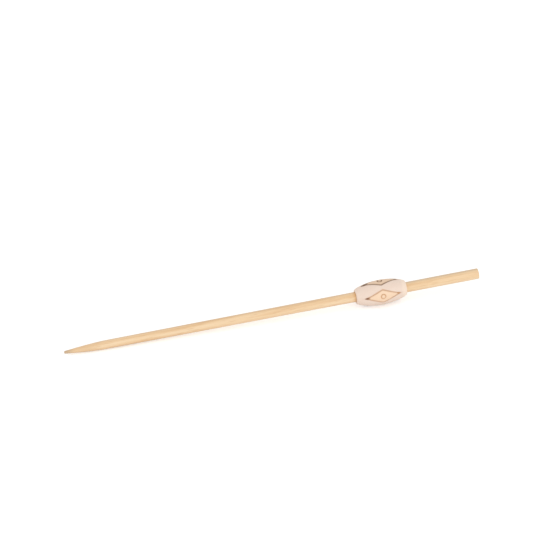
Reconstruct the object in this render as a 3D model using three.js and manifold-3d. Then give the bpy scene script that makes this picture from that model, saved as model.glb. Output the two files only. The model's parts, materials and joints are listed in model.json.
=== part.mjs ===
// A cocktail skewer: a pointed round bamboo stick with an oval bead, carved all round with four
// rhombi that each hold a small ring. It lies on the shoulder of its point and the belly of its bead.
// Sizes are in millimetres and angles in degrees. The stick lies along +X with its point at -X, and
// distances along it are measured from its tip.
import * as THREE from "three";
import { mergeVertices } from "three/addons/utils/BufferGeometryUtils.js";
import Module from "manifold-3d";

// Stick
const STICK_LENGTH = 120;
const POINT_LENGTH = 11;
const TIP_DIAMETER = 0.75; // blunt end of the point
const POINT_FULLNESS = 0.42; // 0 is a straight cone, 1 runs into the shaft with no shoulder
const SHAFT_DIAMETER = 2.5; // just behind the point
const HANDLE_DIAMETER = 3.04; // at the sawn end
const SAWN_EDGE = 0.12; // bevel that sanding leaves round the sawn end

// Bead
const HANDLE_LENGTH = 21.2; // bare stick behind the bead
const BEAD_LENGTH = 14.65;
const BEAD_DIAMETER = 7;
const BEAD_END_DIAMETER = 4.1;
const BEAD_RIM = 0.34; // rounding between each end face and the belly
const BORE_CLEARANCE = 0.03; // round the stick, where it is thickest in the bead

// Carving
const RHOMBUS_COUNT = 4;
const RHOMBUS_LENGTH = 9.85; // along the bead, between groove centres
const RHOMBUS_WIDTH = 4; // round the belly, between groove centres
const RING_DIAMETER = 1.28; // of the groove's centre line
const GROOVE_WIDTH = 0.36;
const GROOVE_DEPTH = 0.17;
const FIRST_RHOMBUS_ANGLE = 15.7; // from -Y up towards +Z

// Fineness of the facets
const STICK_FACETS = 32;
const POINT_STEPS = 12;
const BEAD_FACETS = 72;
const BELLY_STEPS = 10; // on each half of the belly
const ROUNDING_STEPS = 3;
const GOUGE_FACETS = 8;
const SIDE_STEPS = 8; // along each side of a rhombus
const RING_STEPS = 20;

const beadEnd = STICK_LENGTH - HANDLE_LENGTH;
const beadMiddle = beadEnd - BEAD_LENGTH / 2;
const beadRadius = BEAD_DIAMETER / 2;
const tipRadius = TIP_DIAMETER / 2;
const boreRadius = shaftRadiusAt(beadEnd) + BORE_CLEARANCE;

// The round-nosed gouge that cuts such a groove, and how far its middle stays over the surface.
const gougeRadius = ((GROOVE_WIDTH / 2) ** 2 + GROOVE_DEPTH ** 2) / (2 * GROOVE_DEPTH);
const gougeHeight = gougeRadius - GROOVE_DEPTH;

const wasm = await Module();
wasm.setup();

// The shaft thickens evenly from the point to the sawn end.
function shaftRadiusAt(distance) {
  const share = (distance - POINT_LENGTH) / (STICK_LENGTH - POINT_LENGTH);
  return THREE.MathUtils.lerp(SHAFT_DIAMETER, HANDLE_DIAMETER, share) / 2;
}

// The point widens from its blunt tip to the shaft, fastest at the tip.
function pointRadiusAt(distance) {
  const share = distance / POINT_LENGTH;
  const growth = SHAFT_DIAMETER / 2 - tipRadius;
  return tipRadius + growth * share * (1 + POINT_FULLNESS * (1 - share));
}

// The belly is a stretch of an ellipse, `along` being measured from the bead's middle.
function bellyRadiusAt(along) {
  const narrowing = 1 - (BEAD_END_DIAMETER / BEAD_DIAMETER) ** 2;
  return beadRadius * Math.sqrt(1 - narrowing * (along / (BEAD_LENGTH / 2)) ** 2);
}

function rounded(from, corner, to) {
  return new THREE.QuadraticBezierCurve(from, corner, to).getPoints(ROUNDING_STEPS);
}

// Half section of the stick's point, from the middle of its tip to its shoulder.
function pointProfile() {
  const tip = rounded(
    new THREE.Vector2(0, 0),
    new THREE.Vector2(tipRadius, 0),
    new THREE.Vector2(pointRadiusAt(tipRadius), tipRadius),
  );
  const cone = [];
  for (let step = 1; step <= POINT_STEPS; step += 1) {
    const distance = (POINT_LENGTH * step) / POINT_STEPS;
    cone.push(new THREE.Vector2(pointRadiusAt(distance), distance));
  }
  return [...tip, ...cone];
}

function stickProfile() {
  const handleRadius = shaftRadiusAt(STICK_LENGTH);
  return [
    ...pointProfile(),
    new THREE.Vector2(handleRadius, STICK_LENGTH - SAWN_EDGE),
    new THREE.Vector2(handleRadius - SAWN_EDGE, STICK_LENGTH),
    new THREE.Vector2(0, STICK_LENGTH),
  ];
}

// Half section of the belly and its two rims, from the face nearer the point to the other.
function bellyProfile() {
  const half = BEAD_LENGTH / 2;
  const bellyEnd = half - BEAD_RIM;
  const later = [];
  for (let step = 1; step < BELLY_STEPS; step += 1) {
    const along = (bellyEnd * step) / BELLY_STEPS;
    later.push(new THREE.Vector2(bellyRadiusAt(along), along));
  }
  later.push(
    ...rounded(
      new THREE.Vector2(bellyRadiusAt(bellyEnd), bellyEnd),
      new THREE.Vector2(BEAD_END_DIAMETER / 2, half),
      new THREE.Vector2(BEAD_END_DIAMETER / 2 - BEAD_RIM, half),
    ),
  );
  const earlier = later.map((point) => new THREE.Vector2(point.x, -point.y)).reverse();
  return [...earlier, new THREE.Vector2(beadRadius, 0), ...later];
}

// Turns a half section, whose y runs along the stick, round the X axis.
function turned(profile, facets) {
  return new THREE.LatheGeometry(profile, facets).rotateZ(-Math.PI / 2);
}

function solidOf(geometry) {
  geometry.deleteAttribute("normal");
  geometry.deleteAttribute("uv");
  const merged = mergeVertices(geometry);
  return new wasm.Manifold(
    new wasm.Mesh({
      numProp: 3,
      vertProperties: merged.getAttribute("position").array,
      triVerts: new Uint32Array(merged.index.array),
    }),
  );
}

function geometryOf(solid) {
  const { vertProperties, triVerts } = solid.getMesh();
  const geometry = new THREE.BufferGeometry();
  geometry.setAttribute("position", new THREE.BufferAttribute(vertProperties, 3));
  geometry.setIndex(new THREE.BufferAttribute(triVerts, 1));
  return geometry;
}

// Bends a gouge's track, drawn flat with X along the bead, Y round it and Z out of it, on to the
// belly at an angle round the stick.
function wrapped(track, angle) {
  const place = track.getAttribute("position");
  for (let i = 0; i < place.count; i += 1) {
    const along = place.getX(i);
    const radius = bellyRadiusAt(along) + place.getZ(i);
    const turn = angle + place.getY(i) / beadRadius;
    place.setXYZ(i, along, -radius * Math.cos(turn), radius * Math.sin(turn));
  }
  return track;
}

// The gouge's track round a rhombus: a ring with square corners, drawn out to the rhombus's length
// and width, which leaves the groove as wide on all four sides and mitred at the corners.
function rhombusTrack() {
  const halfLength = RHOMBUS_LENGTH / 2;
  const halfWidth = RHOMBUS_WIDTH / 2;
  const tube = (gougeRadius * Math.hypot(halfLength, halfWidth)) / (halfLength * halfWidth);
  const track = new THREE.TorusGeometry(1, tube, GOUGE_FACETS, 4 * SIDE_STEPS);
  const place = track.getAttribute("position");
  for (let i = 0; i < place.count; i += 1) {
    const x = place.getX(i);
    const y = place.getY(i);
    const squared = Math.hypot(x, y) / (Math.abs(x) + Math.abs(y));
    place.setXY(i, x * squared * halfLength, y * squared * halfWidth);
  }
  return track.scale(1, 1, gougeRadius / tube).translate(0, 0, gougeHeight);
}

function ringTrack() {
  const track = new THREE.TorusGeometry(RING_DIAMETER / 2, gougeRadius, GOUGE_FACETS, RING_STEPS);
  return track.translate(0, 0, gougeHeight);
}

function carvedBead() {
  const front = -BEAD_LENGTH / 2;
  const bore = [new THREE.Vector2(boreRadius, -front), new THREE.Vector2(boreRadius, front)];
  const belly = bellyProfile();
  const blank = turned([...belly, ...bore, belly[0]], BEAD_FACETS);
  let bead = solidOf(blank);
  for (let i = 0; i < RHOMBUS_COUNT; i += 1) {
    const angle = (2 * Math.PI * i) / RHOMBUS_COUNT;
    for (const track of [rhombusTrack(), ringTrack()]) {
      bead = bead.subtract(solidOf(wrapped(track, angle)));
    }
  }
  return geometryOf(bead);
}

// The slope of the line that rests on the point's shoulder and on the bead's belly.
function laySlope() {
  const belly = bellyProfile();
  const steepestFrom = (rest) =>
    Math.max(...belly.map((p) => (p.x - rest.x) / (beadMiddle + p.y - rest.y)));
  return Math.min(...pointProfile().map(steepestFrom));
}

const bamboo = new THREE.MeshStandardMaterial({ color: 0xe8c896, roughness: 0.62, metalness: 0 });
const bone = new THREE.MeshStandardMaterial({ color: 0xeedfcb, roughness: 0.42, metalness: 0 });

const stick = new THREE.Mesh(turned(stickProfile(), STICK_FACETS), bamboo);
stick.name = "bamboo_stick";

const bead = new THREE.Mesh(carvedBead(), bone);
bead.name = "carved_bead";
bead.position.x = beadMiddle;
bead.rotation.x = -THREE.MathUtils.degToRad(FIRST_RHOMBUS_ANGLE);

const skewer = new THREE.Group();
skewer.rotation.y = -Math.atan(laySlope());
skewer.add(stick, bead);

// The origin is under the middle of the skewer, on the surface that it lies on.
const box = new THREE.Box3().setFromObject(skewer, true);
const middle = box.getCenter(new THREE.Vector3());
skewer.position.set(-middle.x, -middle.y, -box.min.z);

const group = new THREE.Group();
group.add(skewer);

export default group;
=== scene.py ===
"""The looks of a bamboo cocktail skewer: a pointed stick with a carved bone-coloured bead.

Each piece is modelled at the origin with X along the stick towards its sawn end, the stick from its
tip and the bead about its middle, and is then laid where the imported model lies. Lengths are in
metres. The shaders read the piece's own frame in millimetres, and their sizes are in millimetres too.
"""

import json
import logging
import math
from dataclasses import dataclass, field
from enum import Enum
from typing import Any, Callable

import bpy
from mathutils import Matrix, Vector, noise


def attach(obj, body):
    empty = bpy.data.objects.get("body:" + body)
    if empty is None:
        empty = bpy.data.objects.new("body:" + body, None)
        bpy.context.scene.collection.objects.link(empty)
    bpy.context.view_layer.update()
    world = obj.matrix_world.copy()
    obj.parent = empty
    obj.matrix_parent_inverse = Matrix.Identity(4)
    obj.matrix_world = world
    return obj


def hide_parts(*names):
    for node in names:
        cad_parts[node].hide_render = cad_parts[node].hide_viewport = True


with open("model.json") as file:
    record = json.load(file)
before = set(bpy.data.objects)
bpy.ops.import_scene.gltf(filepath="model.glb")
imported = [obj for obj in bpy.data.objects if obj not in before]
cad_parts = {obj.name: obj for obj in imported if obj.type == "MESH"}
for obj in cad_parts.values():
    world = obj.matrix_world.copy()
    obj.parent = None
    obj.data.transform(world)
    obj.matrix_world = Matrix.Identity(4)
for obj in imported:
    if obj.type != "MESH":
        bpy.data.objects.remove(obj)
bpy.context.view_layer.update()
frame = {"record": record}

log = logging.getLogger("skewer")

MM = 0.001
MERGE_DISTANCE = 0.0005 * MM
CREASE_ANGLE = math.radians(40)  # a sharper edge than this is shaded sharp

Colour = tuple[float, float, float, float]
Outline = list[tuple[float, float]]  # points as (place along the axis, radius)

WHITE: Colour = (1.0, 1.0, 1.0, 1.0)


def srgb(red: int, green: int, blue: int) -> Colour:
    """Turns a colour as a screen shows it, from 0 to 255, into the linear one that a shader takes.

    Args:
        red: The red value.
        green: The green value.
        blue: The blue value.

    Returns:
        The linear colour with full alpha.
    """

    def linear(value: int) -> float:
        """Undoes the screen's curve for one value."""
        share = value / 255
        return share / 12.92 if share <= 0.04045 else ((share + 0.055) / 1.055) ** 2.4

    return linear(red), linear(green), linear(blue), 1.0


@dataclass(frozen=True)
class Fade:
    """A smooth fall from 1, where a measure is at full, to 0, where it is at none."""

    full: float
    none: float


@dataclass(frozen=True)
class Tint:
    """A tone that covers another one, with its full strength where its fade is 1."""

    colour: Colour
    fade: Fade
    strength: float


@dataclass(frozen=True)
class Grain:
    """Clouds of noise: how many go to a millimetre each way, and how finely they break up."""

    along: float
    around: float
    detail: float
    roughness: float = 0.5


@dataclass(frozen=True)
class Specks:
    """Scattered specks: how many go to a millimetre each way, and their edge in shares of a cell."""

    along: float
    around: float
    fade: Fade


class Socket:
    """A shader value, which adds a Math node for each operator that it is used with."""

    def __init__(self, shader: "Shader", socket: bpy.types.NodeSocket) -> None:
        """Wraps a node's output."""
        self.shader = shader
        self.socket = socket

    def __add__(self, other: "Socket | float") -> "Socket":
        """Adds a value."""
        return self.shader.math("ADD", self, other)

    def __sub__(self, other: "Socket | float") -> "Socket":
        """Takes a value away."""
        return self.shader.math("SUBTRACT", self, other)

    def __rsub__(self, other: float) -> "Socket":
        """Takes this away from a number."""
        return self.shader.math("SUBTRACT", other, self)

    def __mul__(self, other: "Socket | float") -> "Socket":
        """Multiplies by a value."""
        return self.shader.math("MULTIPLY", self, other)

    def __truediv__(self, other: "Socket | float") -> "Socket":
        """Divides by a value."""
        return self.shader.math("DIVIDE", self, other)

    def __abs__(self) -> "Socket":
        """Drops the sign."""
        return self.shader.math("ABSOLUTE", self)

    __radd__ = __add__
    __rmul__ = __mul__


class Shader:
    """One material and the nodes that make it."""

    def __init__(self, name: str) -> None:
        """Starts an empty material.

        Args:
            name: The material's name.
        """
        self.material = bpy.data.materials.new(name)
        self.material.use_nodes = True
        self.tree = self.material.node_tree
        self.tree.nodes.clear()

    def add_node(
        self,
        kind: str,
        settings: dict[str, Any] | None = None,
        inputs: dict[str | int, Any] | None = None,
    ) -> bpy.types.Node:
        """Adds a node.

        Args:
            kind: The node's type, without the words ShaderNode.
            settings: Its settings, set first; stops are a colour ramp's places and colours.
            inputs: Values or links of its sockets, by name or number.

        Returns:
            The node.
        """
        made = self.tree.nodes.new("ShaderNode" + kind)
        for name, value in (settings or {}).items():
            if name == "stops":
                self._set_stops(made.color_ramp, value)
            else:
                setattr(made, name, value)
        for name, value in (inputs or {}).items():
            if isinstance(value, Socket):
                self.tree.links.new(value.socket, made.inputs[name])
            else:
                made.inputs[name].default_value = value
        return made

    def node(
        self,
        kind: str,
        settings: dict[str, Any] | None = None,
        inputs: dict[str | int, Any] | None = None,
        output: str | int = 0,
    ) -> Socket:
        """Adds a node as add_node does, and gives one of its outputs, by name or number."""
        return Socket(self, self.add_node(kind, settings, inputs).outputs[output])

    @staticmethod
    def _set_stops(ramp: bpy.types.ColorRamp, stops: list[tuple[float, Colour]]) -> None:
        """Gives a colour ramp its stops.

        Args:
            ramp: The ramp, which has two stops at first.
            stops: Two or more places and colours, in rising order.
        """
        while len(ramp.elements) < len(stops):
            ramp.elements.new(1.0)
        for element, (place, colour) in zip(ramp.elements, stops):
            element.position = place
            element.color = colour

    def math(self, operation: str, *values: "Socket | float") -> Socket:
        """Works out an operation on values with a Math node."""
        return self.node("Math", {"operation": operation}, dict(enumerate(values)))

    def mix(self, share: "Socket | float", low: Any, high: Any) -> Socket:
        """Mixes two colours, from low at a share of 0 to high at 1."""
        return self.node("Mix", {"data_type": "RGBA"}, {0: share, 6: low, 7: high}, 2)

    def fade(self, measure: Socket, fade: Fade) -> Socket:
        """Applies a fade to a measure.

        Args:
            measure: The measure, in the fade's unit.
            fade: Where it is 1 and where it is 0.

        Returns:
            A share from 0 to 1.
        """
        return self.node(
            "MapRange",
            {"interpolation_type": "SMOOTHSTEP"},
            {"Value": measure, "From Min": fade.none, "From Max": fade.full},
        )

    def tint(self, under: Socket, measure: Socket, tint: Tint) -> Socket:
        """Lays a tint over a colour, where a measure says."""
        return self.mix(self.fade(measure, tint.fade) * tint.strength, under, tint.colour)

    def within(self, place: Matrix) -> Socket:
        """Gives the coordinates of a placed piece's own frame, in millimetres.

        Args:
            place: Where that frame lies in the row frame.

        Returns:
            The coordinates as a vector.
        """
        return self.node(
            "Mapping",
            {"vector_type": "TEXTURE"},
            {
                "Vector": self.node("TexCoord", output="Object"),
                "Location": place.to_translation(),
                "Rotation": place.to_euler(),
                "Scale": (MM, MM, MM),
            },
        )

    def split(self, vector: Socket) -> tuple[Socket, Socket, Socket]:
        """Splits a vector into its three numbers."""
        parts = self.add_node("SeparateXYZ", inputs={"Vector": vector})
        return tuple(Socket(self, output) for output in parts.outputs)

    def distance(self, along: Socket, around: Socket) -> Socket:
        """Gives how far two measures at right angles reach together."""
        return self.math("SQRT", along * along + around * around)

    def stretched(self, vector: Socket, along: float, around: float) -> Socket:
        """Scales coordinates, which draws a pattern out in the direction of the smaller number."""
        return self.node("VectorMath", {"operation": "MULTIPLY"}, {0: vector, 1: (along, around, around)})

    def grain(self, vector: Socket, grain: Grain) -> Socket:
        """Reads clouds of noise.

        Args:
            vector: The coordinates in millimetres.
            grain: How the clouds look.

        Returns:
            Their value from 0 to 1, about 0.5 in the middle.
        """
        return self.node(
            "TexNoise",
            {"noise_dimensions": "3D"},
            {
                "Vector": self.stretched(vector, grain.along, grain.around),
                "Scale": 1.0,
                "Detail": grain.detail,
                "Roughness": grain.roughness,
            },
        )

    def specks(self, vector: Socket, specks: Specks) -> Socket:
        """Scatters specks, one to a cell.

        Args:
            vector: The coordinates in millimetres.
            specks: How they look.

        Returns:
            A value of 1 in the specks and 0 between them.
        """
        from_middle = self.node(
            "TexVoronoi",
            {"feature": "F1"},
            {"Vector": self.stretched(vector, specks.along, specks.around), "Scale": 1.0},
        )
        return self.fade(from_middle, specks.fade)

    def bump(self, height: Socket, relief: float) -> Socket:
        """Turns a height from 0 to 1 into a normal, with a relief in metres."""
        return self.node("Bump", {}, {"Height": height, "Distance": relief})

    def finished(self, surface: Socket) -> bpy.types.Material:
        """Ends the material in a shader."""
        self.add_node("OutputMaterial", {}, {"Surface": surface})
        return self.material


@dataclass(frozen=True)
class Carving:
    """Rhombi round the belly, each with a ring in its middle, cut as round-bottomed grooves.

    The lengths of a rhombus and of a ring are those of the groove's middle line, and the groove's
    width includes its rounded edges.
    """

    count: int = 4
    length: float = 9.85 * MM
    width: float = 4.0 * MM
    ring_diameter: float = 1.28 * MM
    groove_width: float = 0.42 * MM
    groove_depth: float = 0.17 * MM
    first_angle: float = math.radians(15.7)

    @property
    def side_distance(self) -> float:
        """How far a rhombus's sides lie from its middle."""
        return self.length * self.width / math.hypot(self.length, self.width) / 2

    def groove_distance(self, along: float, around: float) -> float:
        """Gives the distance to the nearest groove's middle line.

        Args:
            along: The place along the bead, from its middle.
            around: The place round the belly, from the rhombus's middle.

        Returns:
            The distance.
        """
        share = (abs(along) / self.length + abs(around) / self.width) * 2
        past_side = (share - 1) * self.side_distance
        past_ring = math.hypot(along, around) - self.ring_diameter / 2
        return min(abs(past_side), abs(past_ring))


@dataclass(frozen=True)
class CarvedPlace:
    """Where a point of the bead lies, as shader values in millimetres.

    Around is measured round the belly from the middle of the nearest rhombus, and past_side
    outwards from its sides. From_side and from_ring are the distances from the middle line of either
    groove, in half widths of a groove, and half_length is half a rhombus's length.
    """

    within: Socket
    along: Socket
    around: Socket
    up: Socket
    past_side: Socket
    from_side: Socket
    from_ring: Socket
    half_length: float

    @classmethod
    def on(cls, shader: Shader, place: Matrix, carving: Carving, belly_radius: float) -> "CarvedPlace":
        """Measures the bead's surface.

        Args:
            shader: The bead's material.
            place: Where the bead's frame lies, with a rhombus facing -Y.
            carving: The pattern on the belly.
            belly_radius: The bead's radius at its middle.

        Returns:
            The measures.
        """
        within = shader.within(place)
        along, across, up = shader.split(within)
        half_sector = math.pi / carving.count
        turn = shader.math("WRAP", shader.math("ARCTAN2", up, across * -1.0), half_sector, -half_sector)
        around = turn * (belly_radius / MM)
        half_length = carving.length / 2 / MM
        half_width = carving.width / 2 / MM
        share = abs(along) / half_length + abs(around) / half_width
        past_side = (share - 1.0) * (carving.side_distance / MM)
        past_ring = shader.distance(along, around) - carving.ring_diameter / 2 / MM
        half_groove = carving.groove_width / 2 / MM
        from_side = abs(past_side) / half_groove
        from_ring = abs(past_ring) / half_groove
        return cls(within, along, around, up, past_side, from_side, from_ring, half_length)


@dataclass(frozen=True)
class BambooFinish:
    """Sanded bamboo: straw-coloured, with long streaks and short darker fibre bundles.

    The cut point and the tip are measured from the tip, the painted contact shadow at the bead's mouth
    from where the bead begins and both ways, the handle from there too, the sawn face from the sawn end,
    and the painted shade on the upper back side, greyer and darker, from the stick's axis towards its
    facing, as (across, up).
    """

    straw: Colour = srgb(244, 210, 167)
    pale_streak: Colour = srgb(249, 221, 183)
    tan_streak: Colour = srgb(232, 191, 144)
    bundle: Colour = srgb(206, 156, 106)
    end_grain: Colour = srgb(221, 190, 147)
    # painted shade: the greyer, darker tone of the stick's upper back side
    upper_shade_tone: Colour = srgb(212, 186, 152)
    fuzz: Colour = srgb(226, 234, 244)

    streaks: Grain = Grain(0.035, 1.15, 2.0)
    fibres: Grain = Grain(0.16, 7.0, 3.0, 0.6)
    bundles: Specks = Specks(0.22, 3.4, Fade(0.12, 0.34))
    streak_share: float = 0.72
    tone_spread: float = 0.16  # from the middle of the grain to its palest and darkest tones
    bundle_strength: float = 0.34

    cut_point: Tint = Tint(srgb(230, 193, 150), Fade(6.5, 11.5), 0.55)
    tip: Tint = Tint(srgb(194, 168, 138), Fade(0.4, 3.4), 0.7)
    # painted shade: a contact shadow with warm bounce light on the stick where it enters the bead
    bead_mouth_shadow: Tint = Tint(srgb(214, 158, 92), Fade(0.0, 1.2), 0.55)

    # where the painted shade on the upper back side lies, and how strong it is on the handle and in the
    # streaks
    upper_shade_facing: tuple[float, float] = (0.6, 0.8)
    upper_shade: Fade = Fade(1.3, 0.75)
    handle: Fade = Fade(16.0, 12.0)
    upper_shade_on_handle: float = 0.25
    upper_shade_in_streaks: float = 0.6

    sawn_face: Fade = Fade(-0.02, -0.1)
    end_grain_strength: float = 0.75
    end_bundle_strength: float = 0.6

    roughness: float = 0.6
    sawn_roughness: float = 0.25  # more on the sawn face
    fibre_roughness: float = 0.12  # from the smoothest fibres to the roughest
    specular: float = 0.35
    sheen: float = 0.4
    sheen_roughness: float = 0.4
    relief: float = 0.012 * MM
    fibre_relief_share: float = 0.6

    def material(self, place: Matrix, length: float, bead_start: float) -> bpy.types.Material:
        """Makes the material.

        Args:
            place: Where the stick's frame lies.
            length: The stick's length.
            bead_start: How far from the tip the bead begins.

        Returns:
            The finished material.
        """
        shader = Shader("sanded_bamboo")
        within = shader.within(place)
        along, across, up = shader.split(within)
        past_bead_start = along - bead_start / MM
        streaks = shader.grain(within, self.streaks)
        fibres = shader.grain(within, self.fibres)
        bundles = shader.specks(within, self.bundles)
        end = shader.fade(along - length / MM, self.sawn_face)

        wood = self._wood(shader, streaks, fibres, bundles)
        # paints shade on the upper back side, broken up by the streaks and stronger on the handle
        upper_shade = shader.fade(across * self.upper_shade_facing[0] + up * self.upper_shade_facing[1], self.upper_shade)
        handle = shader.fade(past_bead_start, self.handle)
        shade_strength = handle * self.upper_shade_on_handle + streaks * self.upper_shade_in_streaks
        wood = shader.mix(upper_shade * shade_strength, wood, self.upper_shade_tone)
        wood = shader.mix(end * self.end_grain_strength, wood, self.end_grain)
        wood = shader.mix(end * bundles * self.end_bundle_strength, wood, self.bundle)
        wood = shader.tint(wood, along, self.cut_point)
        wood = shader.tint(wood, along, self.tip)
        # paints the contact shadow and warm bounce light on the stick at the bead's mouth
        wood = shader.tint(wood, abs(past_bead_start), self.bead_mouth_shadow)

        smoothest = self.roughness - self.fibre_roughness / 2
        height = fibres * self.fibre_relief_share + (1 - bundles) * (1 - self.fibre_relief_share)
        inputs = {
            "Base Color": wood,
            "Roughness": end * self.sawn_roughness + fibres * self.fibre_roughness + smoothest,
            "Specular IOR Level": self.specular,
            "Sheen Weight": self.sheen,
            "Sheen Roughness": self.sheen_roughness,
            "Sheen Tint": self.fuzz,
            "Normal": shader.bump(height, self.relief),
        }
        return shader.finished(shader.node("BsdfPrincipled", inputs=inputs))

    def _wood(self, shader: Shader, streaks: Socket, fibres: Socket, bundles: Socket) -> Socket:
        """Colours the plain wood.

        Args:
            shader: The stick's material.
            streaks: The long streaks, from 0 to 1.
            fibres: The fine fibres, from 0 to 1.
            bundles: The fibre bundles, 1 inside them.

        Returns:
            The colour.
        """
        tone = streaks * self.streak_share + fibres * (1 - self.streak_share)
        stops = [
            (0.5 - self.tone_spread, self.tan_streak),
            (0.5, self.straw),
            (0.5 + self.tone_spread, self.pale_streak),
        ]
        wood = shader.node("ValToRGB", {"stops": stops}, {"Fac": tone})
        return shader.mix(bundles * self.bundle_strength, wood, self.bundle)


@dataclass(frozen=True)
class Pool:
    """Stain that has gathered in a tip of each rhombus, as a spot drawn out along the bead.

    End is -1 for the tip towards the stick's point and 1 for the other one. Inset is how far inside
    the tip the spot's middle lies, and narrowing how many times longer than wide the spot is.
    """

    end: int
    inset: float
    narrowing: float
    fade: Fade
    strength: float


@dataclass(frozen=True)
class BoneFinish:
    """Polished bone colour, with brown stain left in and beside the carving.

    The painted highlight on the rim at the handle-side end is measured from the bead's middle, the carved
    field outwards from a rhombus's sides, the upper side by its height over the axis in the bead's own
    frame, and the lines and the wash in half widths of a groove from its middle. On the upper side the
    fields, the stain in the lines and the near pools are darkened with painted shade, and deep stain lies
    in the near pools, which are in the tips towards the stick's point.
    """

    bone: Colour = srgb(244, 225, 210)
    bone_shade: Colour = srgb(238, 212, 195)
    field_tone: Colour = srgb(252, 219, 186)
    stain: Colour = srgb(198, 145, 90)
    deep_stain: Colour = srgb(138, 88, 54)
    # painted shade: the dark tone that the upper side's fields, lines and near pools are darkened to
    upper_shade_stain: Colour = srgb(112, 80, 56)

    clouds: Grain = Grain(0.45, 0.9, 3.0)
    canals: Grain = Grain(0.7, 5.5, 2.0, 0.6)
    pores: Specks = Specks(1.1, 4.5, Fade(0.06, 0.2))
    cloud_strength: float = 0.8
    canal_strength: float = 0.12
    pore_strength: float = 0.3

    # painted highlight: a paler band on the rim at the handle-side end
    rim: Tint = Tint(srgb(253, 232, 211), Fade(6.4, 5.4), 0.7)
    carved_field: Fade = Fade(-0.3, 0.1)
    field_strength: float = 0.9
    # the upper side, where painted shade darkens the fields, the lines and the near pools
    upper_side: Fade = Fade(2.8, 2.3)
    upper_field_shade: float = 0.13

    side_line: Fade = Fade(0.3, 1.15)
    ring_line: Fade = Fade(0.4, 1.3)
    wash: Fade = Fade(0.8, 2.4)
    wash_strength: float = 0.3
    least_stain: float = 0.26
    stain_in_clouds: float = 0.4
    # more stain on the upper side, as painted shade
    upper_stain_shading: float = 0.3
    stain_towards_point: float = 0.08
    # the upper side's lines darkened with painted shade
    upper_line_shade: float = 0.85

    near_pool: Pool = Pool(-1, 0.45, 1.7, Fade(0.25, 0.95), 0.85)
    far_pool: Pool = Pool(1, 0.4, 1.6, Fade(0.15, 0.85), 0.6)
    # the near pools on the upper side darkened and spread further as painted shade
    upper_pool_shade: float = 0.7
    upper_pool_growth: float = 0.4

    roughness: float = 0.42
    line_roughness: float = 0.3  # more in the stained lines
    canal_roughness: float = 0.1  # from the smoothest canals to the roughest
    specular: float = 0.45
    relief: float = 0.016 * MM
    canal_relief_share: float = 0.6

    def material(self, place: Matrix, carving: Carving, belly_radius: float) -> bpy.types.Material:
        """Makes the material.

        Args:
            place: Where the bead's frame lies, with a rhombus facing -Y.
            carving: The pattern that the stain follows.
            belly_radius: The bead's radius at its middle.

        Returns:
            The finished material.
        """
        shader = Shader("stained_bone")
        at = CarvedPlace.on(shader, place, carving, belly_radius)
        clouds = shader.grain(at.within, self.clouds)
        canals = shader.grain(at.within, self.canals)
        pores = shader.specks(at.within, self.pores)
        upper = shader.fade(at.up, self.upper_side)
        side_line = shader.fade(at.from_side, self.side_line)
        ring_line = shader.fade(at.from_ring, self.ring_line)
        lines = shader.math("MAXIMUM", side_line, ring_line)

        colour = shader.mix(clouds * self.cloud_strength, self.bone, self.bone_shade)
        colour = shader.mix(canals * self.canal_strength, colour, self.field_tone)
        # paints the highlight on the rim at the handle-side end
        colour = shader.tint(colour, at.along, self.rim)
        colour = self._toned_fields(shader, at, upper, colour)
        colour = shader.mix(pores * self.pore_strength, colour, self.stain)
        colour = self._stained(shader, at, clouds, upper, lines, colour)

        smoothest = self.roughness - self.canal_roughness / 2
        height = canals * self.canal_relief_share + (1 - pores) * (1 - self.canal_relief_share)
        inputs = {
            "Base Color": colour,
            "Roughness": lines * self.line_roughness + canals * self.canal_roughness + smoothest,
            "Specular IOR Level": self.specular,
            "Normal": shader.bump(height, self.relief),
        }
        return shader.finished(shader.node("BsdfPrincipled", inputs=inputs))

    def _toned_fields(self, shader: Shader, at: CarvedPlace, upper: Socket, bone: Socket) -> Socket:
        """Warms the fields inside the rhombi, and darkens those on the upper side with painted shade.

        Args:
            shader: The bead's material.
            at: The measures of its surface.
            upper: A share of 1 on the upper side.
            bone: The colour of the bone.

        Returns:
            The colour with the fields.
        """
        inside = shader.fade(at.past_side, self.carved_field)
        warmed = shader.mix(inside * self.field_strength, bone, self.field_tone)
        # painted shade on the fields of the upper side
        return shader.mix(inside * upper * self.upper_field_shade, warmed, self.upper_shade_stain)

    def _stained(
        self, shader: Shader, at: CarvedPlace, clouds: Socket, upper: Socket, lines: Socket, bone: Socket
    ) -> Socket:
        """Lays the stain in and beside the grooves, and pools of it in the rhombi's tips.

        Args:
            shader: The bead's material.
            at: The measures of its surface.
            clouds: The clouds that the stain's strength follows, from 0 to 1.
            upper: A share of 1 on the upper side.
            lines: A share of 1 in the grooves.
            bone: The colour of the bone.

        Returns:
            The colour with the stain.
        """
        early = shader.fade(at.along / at.half_length, Fade(-1.0, 1.0))
        # stronger stain on the upper side as painted shade
        strength = upper * self.upper_stain_shading + early * self.stain_towards_point
        strength = strength + clouds * self.stain_in_clouds + self.least_stain
        # the stain on the upper side darkened with painted shade
        stain = shader.mix(upper * self.upper_line_shade, self.stain, self.upper_shade_stain)
        wash = shader.fade(at.from_side, self.wash)
        colour = shader.mix(wash * strength * self.wash_strength, bone, stain)
        colour = shader.mix(lines * strength, colour, stain)

        far = shader.fade(self._from_pool(shader, at, self.far_pool), self.far_pool.fade)
        colour = shader.mix(far * self.far_pool.strength, colour, stain)
        # the near pools spread further and darken on the upper side as painted shade
        from_near = self._from_pool(shader, at, self.near_pool) - upper * self.upper_pool_growth
        near = shader.fade(from_near, self.near_pool.fade)
        deep = shader.mix(upper * self.upper_pool_shade, self.deep_stain, self.upper_shade_stain)
        return shader.mix(near * self.near_pool.strength, colour, deep)

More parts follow.
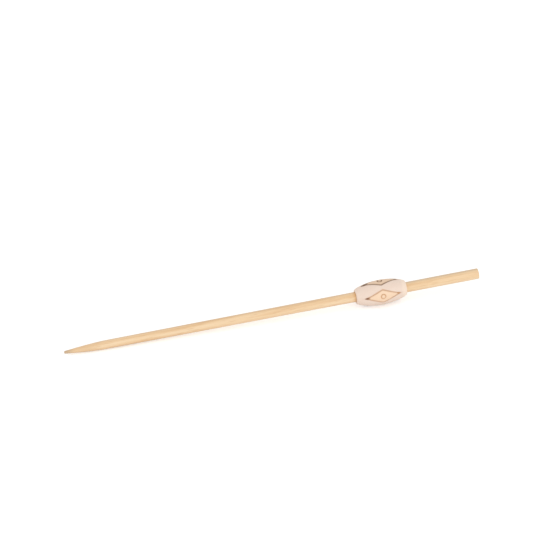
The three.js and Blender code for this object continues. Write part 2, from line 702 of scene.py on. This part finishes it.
    @staticmethod
    def _from_pool(shader: Shader, at: CarvedPlace, pool: Pool) -> Socket:
        """Measures the distance from the middle of a pool, stretched across the bead."""
        middle = pool.end * (at.half_length - pool.inset)
        return shader.distance(at.along - middle, at.around * pool.narrowing)


@dataclass(frozen=True)
class FloorFinish:
    """A plain pale surface, which the camera sees as white wherever no shadow falls."""

    paint: Colour = srgb(243, 243, 243)
    lift: float = 0.36

    def material(self) -> bpy.types.Material:
        """Makes the material.

        Returns:
            The finished material.
        """
        shader = Shader("pale_floor")
        seen = shader.node("LightPath", output="Is Camera Ray")
        glow = shader.node("Emission", {}, {"Color": WHITE, "Strength": self.lift})
        paint = shader.node("BsdfDiffuse", {}, {"Color": self.paint})
        lifted = shader.node("AddShader", {}, {0: paint, 1: glow})
        return shader.finished(shader.node("MixShader", {}, {0: seen, 1: paint, 2: lifted}))


def deselect_all() -> None:
    """Leaves object mode with nothing selected."""
    if bpy.context.object and bpy.context.object.mode != "OBJECT":
        bpy.ops.object.mode_set(mode="OBJECT")
    bpy.ops.object.select_all(action="DESELECT")


def apply_modifier(piece: bpy.types.Object, kind: str, **settings: Any) -> None:
    """Adds a modifier and applies it at once.

    Args:
        piece: The active object.
        kind: The modifier's type.
        settings: Its settings.
    """
    modifier = piece.modifiers.new(kind.lower(), kind)
    for name, value in settings.items():
        setattr(modifier, name, value)
    bpy.ops.object.modifier_apply(modifier=modifier.name)


def turned(name: str, outline: Outline, facets: int) -> bpy.types.Object:
    """Turns a half section round the X axis, as on a lathe.

    Args:
        name: The new piece's name.
        outline: The section's points, in order. It closes on itself, or its first and last points
            are on the axis, and no others.
        facets: The number of steps round the axis.

    Returns:
        The turned piece, selected and active, in object mode.
    """
    deselect_all()
    bpy.ops.mesh.primitive_circle_add(vertices=len(outline), radius=1.0)
    piece = bpy.context.object
    piece.name = name
    for vertex, (along, radius) in zip(piece.data.vertices, outline):
        vertex.co = (along, radius, 0.0)
        vertex.select = radius == 0.0
    on_axis = {vertex.index for vertex in piece.data.vertices if vertex.select}
    for edge in piece.data.edges:
        edge.select = set(edge.vertices) == on_axis
    bpy.ops.object.mode_set(mode="EDIT")
    bpy.ops.mesh.select_mode(type="EDGE")
    if on_axis:
        bpy.ops.mesh.delete(type="EDGE")
    bpy.ops.mesh.select_all(action="SELECT")
    bpy.ops.mesh.spin(steps=facets, angle=2 * math.pi, center=(0, 0, 0), axis=(1, 0, 0))
    bpy.ops.mesh.select_all(action="SELECT")
    bpy.ops.mesh.remove_doubles(threshold=MERGE_DISTANCE)
    bpy.ops.mesh.normals_make_consistent(inside=False)
    bpy.ops.object.mode_set(mode="OBJECT")
    return piece


def refine(piece: bpy.types.Object, wanted: Callable[[Vector], bool], cuts: int) -> None:
    """Subdivides the faces of a smooth piece in one region, for finer forms there.

    Args:
        piece: The active object.
        wanted: Says whether a face with its middle at a point lies in the region.
        cuts: The number of cuts across each face.
    """
    for element in (*piece.data.vertices, *piece.data.edges):
        element.select = False
    for polygon in piece.data.polygons:
        polygon.select = wanted(polygon.center)
    bpy.ops.object.mode_set(mode="EDIT")
    bpy.ops.mesh.select_mode(type="FACE")
    bpy.ops.mesh.subdivide(number_cuts=cuts, smoothness=1.0)
    bpy.ops.object.mode_set(mode="OBJECT")


def sink(piece: bpy.types.Object, share_at: Callable[[Vector], float], depth: float) -> None:
    """Presses a piece's surface in along its normals, by weights painted on its points.

    Args:
        piece: The active object.
        share_at: Gives the share of the full depth, from 0 to 1, at a point.
        depth: The full depth.
    """
    weights = piece.vertex_groups.new(name="depth")
    for vertex in piece.data.vertices:
        share = share_at(vertex.co)
        if share > 0:
            weights.add([vertex.index], share, "REPLACE")
    apply_modifier(piece, "DISPLACE", strength=-depth, mid_level=0.0, vertex_group=weights.name)
    piece.vertex_groups.clear()


def smoothstep(value: float) -> float:
    """Rises smoothly from 0 at 0 to 1 at 1."""
    clamped = min(max(value, 0.0), 1.0)
    return clamped * clamped * (3 - 2 * clamped)


def mottle(point: Vector) -> float:
    """Reads a pattern of hollows a unit or so apart as a depth from 0 to 1."""
    return smoothstep(0.5 + noise.noise(point))


def spaced(start: float, end: float, spacing: float) -> list[float]:
    """Gives even steps along a stretch.

    Args:
        start: Where the stretch begins, which is left out.
        end: Where it ends, which is the last step.
        spacing: About how far apart the steps are.

    Returns:
        The steps' places.
    """
    count = round((end - start) / spacing)
    return [start + (end - start) * step / count for step in range(1, count + 1)]


def blended_corner(start: Vector, corner: Vector, end: Vector, steps: int) -> Outline:
    """Rounds a section's corner with a curve that keeps to the two lines at its ends.

    Args:
        start: Where the rounding begins.
        corner: The sharp corner.
        end: Where it ends.
        steps: The number of steps between.

    Returns:
        The curve's points, with both ends.
    """
    points = []
    for step in range(steps + 1):
        share = step / steps
        point = start.lerp(corner, share).lerp(corner.lerp(end, share), share)
        points.append((point.x, point.y))
    return points


@dataclass(frozen=True)
class Lie:
    """How the skewer lies: the middle of its sawn end and the way it points, from the frame."""

    sawn_end: Vector
    direction: Vector

    @classmethod
    def of(cls, record: dict[str, Any], mount: str) -> "Lie":
        """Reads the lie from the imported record's mount of this name on the sawn end."""
        found = next(entry for entry in record["mounts"] if entry["name"] == mount)
        return cls(Vector(found["pos_m"]), Vector(found["axis"]).normalized())

    def place(self, from_sawn_end: float, roll: float = 0.0) -> Matrix:
        """Places a frame on the stick's axis.

        Args:
            from_sawn_end: Its distance from the sawn end.
            roll: How far it is turned round the axis.

        Returns:
            The frame, with X along the stick towards the sawn end.
        """
        tilt = Matrix.Rotation(-math.asin(self.direction.z), 4, "Y")
        origin = self.sawn_end - self.direction * from_sawn_end
        return Matrix.Translation(origin) @ tilt @ Matrix.Rotation(roll, 4, "X")


def finish_piece(
    piece: bpy.types.Object, place: Matrix, material: bpy.types.Material, node: str
) -> None:
    """Lays a modelled piece in the row frame and hands it to the frame.

    Args:
        piece: The active object, modelled at the origin.
        place: Where its own frame lies.
        material: Its finish.
        node: The CAD node that it stands for.
    """
    piece.data.transform(place)
    piece.data.materials.append(material)
    bpy.ops.object.shade_smooth_by_angle(angle=CREASE_ANGLE)
    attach(piece, "root")
    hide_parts(node)


@dataclass
class Stick:
    """The round bamboo stick, from the rounded tip of its point to its sawn end."""

    lie: Lie
    length: float = 120 * MM
    point_length: float = 11.0 * MM
    tip_radius: float = 0.375 * MM
    point_fullness: float = 0.42  # 0 is a straight cone, 1 runs into the shaft with no shoulder
    shaft_radius: float = 1.25 * MM  # just behind the point
    handle_radius: float = 1.52 * MM  # at the sawn end
    sawn_edge: float = 0.12 * MM

    hollow_depth: float = 0.018 * MM  # between the fibres and in the saw's marks
    fibre_length: float = 14 * MM
    fibre_width: float = 0.22 * MM
    saw_mark_length: float = 0.35 * MM
    saw_mark_width: float = 0.16 * MM
    saw_mark_steepness: float = 2.78  # 1 is a gentle hollow, and more makes its bottom wider
    saw_mark_reach: float = 0.03 * MM  # over the edge of the sawn face
    saw_mark_fade: float = 0.02 * MM

    facets: int = 128
    ring_spacing: float = 1.0 * MM
    point_ring_spacing: float = 0.5 * MM
    tip_steps: int = 6
    edge_steps: int = 4
    face_rings: int = 12
    finish: BambooFinish = field(default_factory=BambooFinish)

    def radius_at(self, along: float) -> float:
        """Gives the shaft's radius, which grows evenly from the point to the sawn end."""
        share = (along - self.point_length) / (self.length - self.point_length)
        return self.shaft_radius + (self.handle_radius - self.shaft_radius) * share

    def point_radius_at(self, along: float) -> float:
        """Gives the point's radius, which grows fastest at the blunt tip.

        Args:
            along: The distance from the tip.

        Returns:
            The radius there.
        """
        share = along / self.point_length
        growth = self.shaft_radius - self.tip_radius
        return self.tip_radius + growth * share * (1 + self.point_fullness * (1 - share))

    def point_outline(self) -> Outline:
        """Draws the half section of the point, from the middle of its tip to its shoulder.

        Returns:
            The points.
        """
        tip = blended_corner(
            Vector((0.0, 0.0)),
            Vector((0.0, self.tip_radius)),
            Vector((self.tip_radius, self.point_radius_at(self.tip_radius))),
            self.tip_steps,
        )
        places = spaced(0.0, self.point_length, self.point_ring_spacing)[1:]  # clear of the tip
        return [*tip, *((along, self.point_radius_at(along)) for along in places)]

    def outline(self) -> Outline:
        """Draws the half section, from the tip to the middle of the sawn end.

        Returns:
            The points.
        """
        shaft_end = self.length - self.sawn_edge
        places = spaced(self.point_length, shaft_end, self.ring_spacing)
        shaft = [(along, self.radius_at(along)) for along in places]
        face_radius = self.handle_radius - self.sawn_edge
        edge = blended_corner(
            Vector((shaft_end, self.handle_radius)),
            Vector((self.length, self.handle_radius)),
            Vector((self.length, face_radius)),
            self.edge_steps,
        )[1:]
        rings = range(1, self.face_rings)
        face = [(self.length, face_radius * (1 - ring / self.face_rings)) for ring in rings]
        return [*self.point_outline(), *shaft, *edge, *face, (self.length, 0.0)]

    def hollow_share(self, point: Vector) -> float:
        """Says how deep the surface lies between fibres, and in the saw's marks on the end.

        Args:
            point: A point of the stick's surface.

        Returns:
            The share of the hollows' full depth.
        """
        across, up = point.y / self.fibre_width, point.z / self.fibre_width
        fibres = Vector((point.x / self.fibre_length, across, up))
        marks = Vector((0.0, point.y / self.saw_mark_length, point.z / self.saw_mark_width))
        torn = mottle(marks) * self.saw_mark_steepness
        on_end = smoothstep((point.x - self.length + self.saw_mark_reach) / self.saw_mark_fade)
        return min(1.0, mottle(fibres) * (1 - on_end) + torn * on_end)

    def build(self, bead_start: float) -> bpy.types.Object:
        """Models and dresses the stick.

        Args:
            bead_start: How far from the tip the bead begins, where a contact shadow with warm bounce
                light is painted on the stick.

        Returns:
            The finished piece.
        """
        piece = turned("bamboo_stick_fine", self.outline(), self.facets)
        sink(piece, self.hollow_share, self.hollow_depth)
        place = self.lie.place(self.length)
        material = self.finish.material(place, self.length, bead_start)
        finish_piece(piece, place, material, "bamboo_stick")
        return piece


@dataclass
class Bead:
    """The oval bead, bored for the stick and carved all round."""

    lie: Lie
    stick: Stick
    handle_length: float = 21.2 * MM  # bare stick behind the bead
    length: float = 14.65 * MM
    radius: float = 3.5 * MM
    end_radius: float = 2.05 * MM
    rim: float = 0.34 * MM
    bore_clearance: float = 0.03 * MM
    bore_edge: float = 0.04 * MM

    facets: int = 224
    belly_rings: int = 96
    rim_steps: int = 6
    bore_edge_steps: int = 3
    carving_cuts: int = 2
    carving_margin: float = 1.5  # reach of the finer mesh, in half widths of a groove
    groove_steepness: float = 1.25  # 1 is a rounded V, and more makes the bottom wider
    carving: Carving = field(default_factory=Carving)
    finish: BoneFinish = field(default_factory=BoneFinish)

    @property
    def start(self) -> float:
        """How far from the stick's tip the bead begins."""
        return self.stick.length - self.handle_length - self.length

    def belly_radius(self, along: float) -> float:
        """Gives the outer radius, an ellipse's, at a distance from the bead's middle."""
        narrowing = 1 - (self.end_radius / self.radius) ** 2
        return self.radius * math.sqrt(1 - narrowing * (along / (self.length / 2)) ** 2)

    def end_outline(self) -> Outline:
        """Draws the half section of the later end, from the belly over the rim into the bore.

        Returns:
            The points.
        """
        half = self.length / 2
        belly_end = half - self.rim
        rim = blended_corner(
            Vector((belly_end, self.belly_radius(belly_end))),
            Vector((half, self.end_radius)),
            Vector((half, self.end_radius - self.rim)),
            self.rim_steps,
        )
        bore_radius = self.stick.radius_at(self.start + self.length) + self.bore_clearance
        bore = blended_corner(
            Vector((half, bore_radius + self.bore_edge)),
            Vector((half, bore_radius)),
            Vector((half - self.bore_edge, bore_radius)),
            self.bore_edge_steps,
        )
        return [*rim, *bore]

    def outline(self) -> Outline:
        """Draws the closed half section of the belly, the rims and the bore.

        Returns:
            The points.
        """
        belly_end = self.length / 2 - self.rim
        belly = []
        for ring in range(1, self.belly_rings):
            along = belly_end * (2 * ring / self.belly_rings - 1)
            belly.append((along, self.belly_radius(along)))
        later = self.end_outline()
        earlier = [(-along, radius) for along, radius in reversed(later)]
        return [*earlier, *belly, *later]

    def groove_distance(self, point: Vector) -> float:
        """Gives the distance to the nearest groove's middle line on the flattened belly.

        Args:
            point: A point of the bead's surface.

        Returns:
            The distance, which has no end in the bore and on the end faces.
        """
        if math.hypot(point.y, point.z) <= self.end_radius:
            return math.inf
        sector = 2 * math.pi / self.carving.count
        turn = math.atan2(point.z, -point.y)
        around = (turn - sector * round(turn / sector)) * self.radius
        return self.carving.groove_distance(point.x, around)

    def near_carving(self, point: Vector) -> bool:
        """Says whether a point lies in the carved lines or close beside them."""
        return self.groove_distance(point) < self.carving.groove_width / 2 * self.carving_margin

    def groove_share(self, point: Vector) -> float:
        """Gives the groove's share of its full depth at a surface point."""
        share = self.groove_distance(point) / (self.carving.groove_width / 2)
        return smoothstep(self.groove_steepness * (1 - share))

    def build(self) -> bpy.types.Object:
        """Models and dresses the bead.

        Returns:
            The finished piece.
        """
        piece = turned("carved_bead_fine", self.outline(), self.facets)
        refine(piece, self.near_carving, self.carving_cuts)
        sink(piece, self.groove_share, self.carving.groove_depth)
        place = self.lie.place(self.handle_length + self.length / 2, -self.carving.first_angle)
        material = self.finish.material(place, self.carving, self.radius)
        finish_piece(piece, place, material, "carved_bead")
        return piece


@dataclass(frozen=True)
class Softbox:
    """A square soft lamp that faces the object.

    Its angles are in degrees, and a share of 1 is the light at which a colour renders as written.
    """

    azimuth: float
    elevation: float
    share: float
    distance: float = 0.9
    side: float = 0.5


class Lamp(Enum):
    """The studio's lamps."""

    KEY = Softbox(35.0, 22.0, 0.2)
    FILL = Softbox(-75.0, 20.0, 0.14)


def towards(azimuth: float, elevation: float) -> Vector:
    """Gives the direction from the object to a place that looks at it.

    Args:
        azimuth: The place's angle round the object in degrees, 0 being at -Y.
        elevation: Its angle over the horizon in degrees.

    Returns:
        The direction.
    """
    turn, rise = math.radians(azimuth), math.radians(elevation)
    flat = math.cos(rise)
    return Vector((math.sin(turn) * flat, -math.cos(turn) * flat, math.sin(rise)))


@dataclass
class Studio:
    """A pale floor under soft light, and the camera.

    The camera's angles are in degrees and its lens in millimetres. It aims a little to the right of
    the skewer's middle and over it, as the picture does.
    """

    middle: Vector
    azimuth: float = -15.19
    elevation: float = 38.0
    distance: float = 2.0
    lens: float = 459.7
    aim_right: float = 2.19 * MM
    aim_up: float = 9.17 * MM
    world_share: float = 0.8
    floor_size: float = 6.0

    def add_floor(self) -> None:
        """Lays the floor under the object."""
        deselect_all()
        bpy.ops.mesh.primitive_grid_add(x_subdivisions=2, y_subdivisions=2, size=self.floor_size)
        floor = bpy.context.object
        floor.name = "floor"
        floor.data.materials.append(FloorFinish().material())

    def add_lamps(self) -> None:
        """Hangs the lamps."""
        for lamp in Lamp:
            box = lamp.value
            direction = towards(box.azimuth, box.elevation)
            bpy.ops.object.light_add(type="AREA", location=self.middle + direction * box.distance)
            made = bpy.context.object
            made.name = lamp.name.lower() + "_lamp"
            made.rotation_euler = direction.to_track_quat("Z", "Y").to_euler()
            made.data.size = box.side
            made.data.energy = box.share * (math.pi * box.distance) ** 2

    def light_world(self) -> None:
        """Fills the room with even light, and shows it white where the floor ends."""
        world = bpy.data.worlds.new("studio")
        world.use_nodes = True
        background = world.node_tree.nodes["Background"]
        seen = world.node_tree.nodes.new("ShaderNodeLightPath")
        level = world.node_tree.nodes.new("ShaderNodeMapRange")
        level.inputs["To Min"].default_value = self.world_share
        level.inputs["To Max"].default_value = 1.0
        world.node_tree.links.new(seen.outputs["Is Camera Ray"], level.inputs["Value"])
        world.node_tree.links.new(level.outputs[0], background.inputs["Strength"])
        background.inputs["Color"].default_value = WHITE
        bpy.context.scene.world = world

    def add_camera(self) -> None:
        """Sets the camera at the picture's angle."""
        back = towards(self.azimuth, self.elevation)
        turn = back.to_track_quat("Z", "Y")
        aim = self.middle + turn @ Vector((self.aim_right, self.aim_up, 0.0))
        bpy.ops.object.camera_add(location=aim + back * self.distance, rotation=turn.to_euler())
        camera = bpy.context.object
        camera.data.lens = self.lens
        bpy.context.scene.camera = camera

    def build(self) -> None:
        """Sets up the whole studio."""
        self.add_floor()
        self.add_lamps()
        self.light_world()
        self.add_camera()
        bpy.context.scene.view_settings.view_transform = "Standard"


def main() -> None:
    """Builds the skewer and its studio."""
    logging.basicConfig(level=logging.INFO, format="%(name)s: %(message)s")
    lie = Lie.of(frame["record"], "sawn_end")
    stick = Stick(lie)
    bead = Bead(lie, stick)
    for piece in (stick.build(bead.start), bead.build()):
        piece.data.calc_loop_triangles()
        log.info("%s: %d triangles", piece.name, len(piece.data.loop_triangles))
    Studio(lie.place(stick.length / 2).to_translation()).build()


if __name__ == "__main__":
    main()
